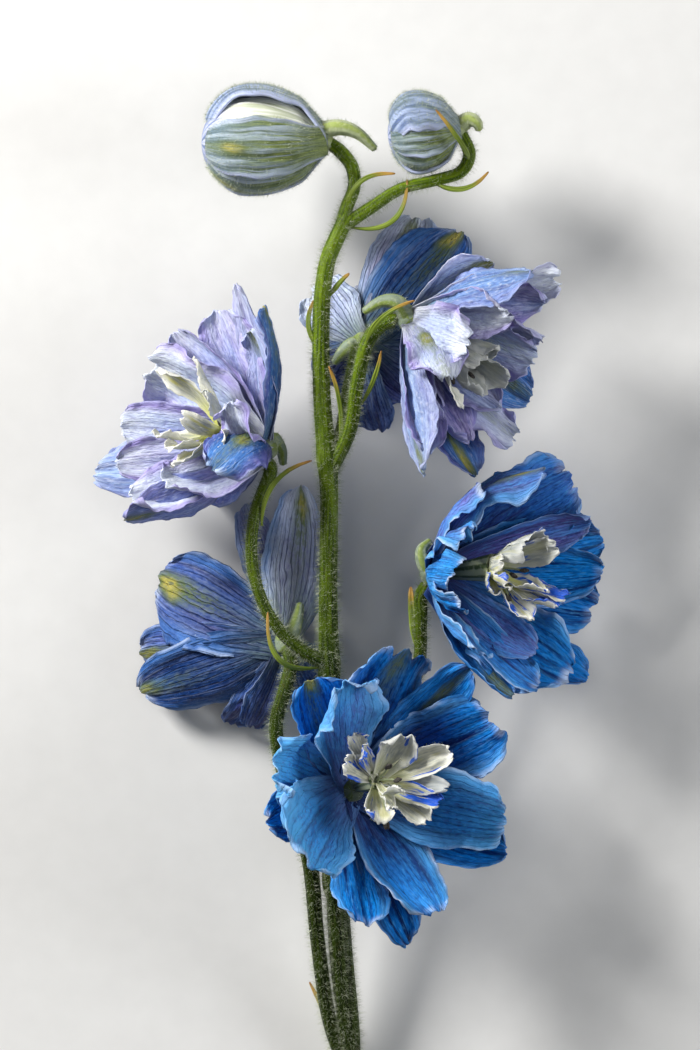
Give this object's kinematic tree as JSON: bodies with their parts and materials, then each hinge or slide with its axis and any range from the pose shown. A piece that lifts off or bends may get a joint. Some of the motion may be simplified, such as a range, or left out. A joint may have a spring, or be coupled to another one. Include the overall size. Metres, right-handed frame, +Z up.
{
  "type": "delphinium flower spike",
  "caption": "Cut delphinium spike lying on a surface: hairy green stem with open semi-double blue and lilac blooms, closed buds and thin bracts.",
  "frame": {"origin": "bottom centre of the bounding box, on the surface that the spike lies on", "axes": "+Y from the cut end of the stem towards the buds, +X to the right seen from above, +Z up from the surface"},
  "size_m": [0.1151, 0.229, 0.0519],
  "materials": {
    "stem_green": "matte, hairy",
    "deep_blue_petal": "soft satin",
    "lilac_petal": "soft satin",
    "violet_blue_petal": "soft satin",
    "cream_eye": "soft satin",
    "bud_blue_green": "matte, downy"
  },
  "bodies": {
    "root": {"stem": "stem_green", "low_bloom_petals": "deep_blue_petal", "low_bloom_eye": "cream_eye", "left_bloom_petals": "lilac_petal", "left_bloom_eye": "cream_eye", "back_bloom_petals": "violet_blue_petal", "back_bloom_eye": "cream_eye", "right_bloom_petals": "deep_blue_petal", "right_bloom_eye": "cream_eye", "upper_front_bloom_petals": "lilac_petal", "upper_front_bloom_eye": "cream_eye", "upper_back_bloom_petals": "violet_blue_petal", "upper_back_bloom_eye": "cream_eye", "bud_left": "bud_blue_green", "bud_right": "bud_blue_green"}
  },
  "joints": []
}
